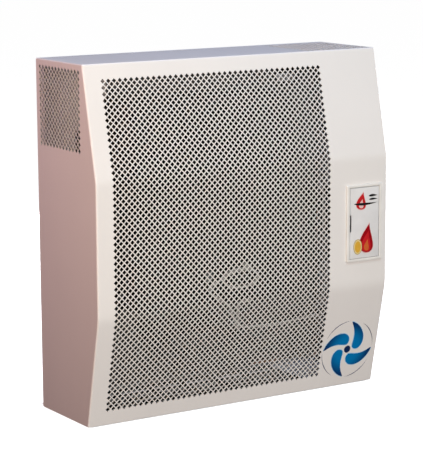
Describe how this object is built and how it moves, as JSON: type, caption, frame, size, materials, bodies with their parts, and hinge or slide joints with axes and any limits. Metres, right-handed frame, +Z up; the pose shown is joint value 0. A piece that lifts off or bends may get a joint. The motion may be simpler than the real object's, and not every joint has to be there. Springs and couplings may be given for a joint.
{
  "type": "fan convector heater",
  "caption": "Wall-hung balanced-flue gas heater with a fan: bowed perforated steel casing, finned exchanger, burner, control valve behind a hinged door and coaxial flue collars.",
  "frame": {"origin": "centre of the bounding box's bottom face, level with the casing's lower edges", "axes": "+X to the right along the front, -Y towards the room, +Z up"},
  "size_m": [0.55, 0.191, 0.566],
  "materials": {
    "casing_enamel": "satin cream-white powder coat with a faint orange-peel texture",
    "door_plastic": "moulded off-white plastic, semi-gloss",
    "galvanised_steel": "bare zinc-coated sheet, dull",
    "heat_black": "matt heat-resistant black paint",
    "stainless_steel": "plain stainless or zinc-plated steel",
    "valve_casting": "cast, with a dark grey coat",
    "brass": "machined",
    "copper": "drawn copper tube, slightly dulled",
    "black_plastic": "fine moulded texture",
    "red_plastic": "glossy moulded plastic",
    "sight_glass": "clear heat-resistant glass",
    "ceramic": "glazed ceramic",
    "cable_sheath": "flexible sleeve",
    "black_sleeve": "black heat-resistant sleeve"
  },
  "bodies": {
    "casing": {"front_panel": "casing_enamel", "side_panel_left": "casing_enamel", "side_panel_right": "casing_enamel", "top_panel": "casing_enamel", "door_bezel": "door_plastic", "rear_chassis": "galvanised_steel", "bottom_panel": "galvanised_steel", "flue_collar_outer": "galvanised_steel", "control_plate": "galvanised_steel", "fan_motor": "galvanised_steel", "exchanger_shell": "heat_black", "exchanger_back": "heat_black", "burner_access_plate": "heat_black", "sight_glass_ring": "heat_black", "access_bolt_1": "heat_black", "access_bolt_2": "heat_black", "access_bolt_3": "heat_black", "access_bolt_4": "heat_black", "fan_bracket": "heat_black", "fan_guard": "heat_black", "burner_pipe": "heat_black", "air_duct": "heat_black", "exchanger_support_left": "heat_black", "exchanger_support_right": "heat_black", "valve_bracket": "heat_black", "flue_collar_inner": "stainless_steel", "flue_baffle": "stainless_steel", "burner_tube": "stainless_steel", "pilot_bracket": "stainless_steel", "door_hinge_pin_upper": "stainless_steel", "door_hinge_pin_lower": "stainless_steel", "chassis_screw_left": "stainless_steel", "chassis_screw_right": "stainless_steel", "gas_valve_body": "valve_casting", "burner_injector": "brass", "pilot_burner": "brass", "gas_inlet_union": "brass", "thermocouple": "copper", "gas_inlet_pipe": "copper", "thermostat_bulb": "copper", "thermostat_capillary": "copper", "piezo_body": "black_plastic", "switch_body": "black_plastic", "cable_gland": "black_plastic", "fan_frame": "black_plastic", "door_magnet": "black_plastic", "terminal_block": "black_plastic", "sight_glass": "sight_glass", "ignition_electrode": "ceramic", "ignition_lead": "cable_sheath", "fan_wire": "cable_sheath", "pilot_pipe": "black_sleeve", "thermocouple_lead": "black_sleeve"},
    "door": {"access_door": "door_plastic", "door_strike": "stainless_steel"},
    "spindle": {"valve_spindle": "brass"},
    "knob": {"valve_knob": "black_plastic"},
    "piezo_plunger": {"piezo_button": "red_plastic"},
    "rocker": {"switch_rocker": "red_plastic"},
    "impeller": {"fan_impeller": "black_plastic"}
  },
  "joints": [
    {"name": "door_hinge", "type": "hinge", "parent": "casing", "child": "door", "pos_m": [0.2558, -0.0934, 0.2818], "axis": [0, 0, 1], "range_deg": [0, 100]},
    {"name": "spindle_press", "type": "slide", "parent": "casing", "child": "spindle", "axis": [0, 1, 0], "range_m": [0, 0.005], "stiffness_N_per_m": 600, "springref_m": -0.003},
    {"name": "knob_turn", "type": "hinge", "parent": "spindle", "child": "knob", "pos_m": [0.2283, -0.0755, 0.282], "axis": [0, -1, 0], "range_deg": [0, 270]},
    {"name": "piezo_press", "type": "slide", "parent": "casing", "child": "piezo_plunger", "axis": [0, 1, 0], "range_m": [0, 0.006], "stiffness_N_per_m": 500, "springref_m": -0.003},
    {"name": "rocker_tilt", "type": "hinge", "parent": "casing", "child": "rocker", "pos_m": [0.2283, -0.062, 0.241], "axis": [1, 0, 0], "range_deg": [0, 16]},
    {"name": "fan_spin", "type": "hinge", "parent": "casing", "child": "impeller", "pos_m": [-0.02, 0.01, 0.08], "axis": [0, 0, 1], "continuous": true}
  ]
}
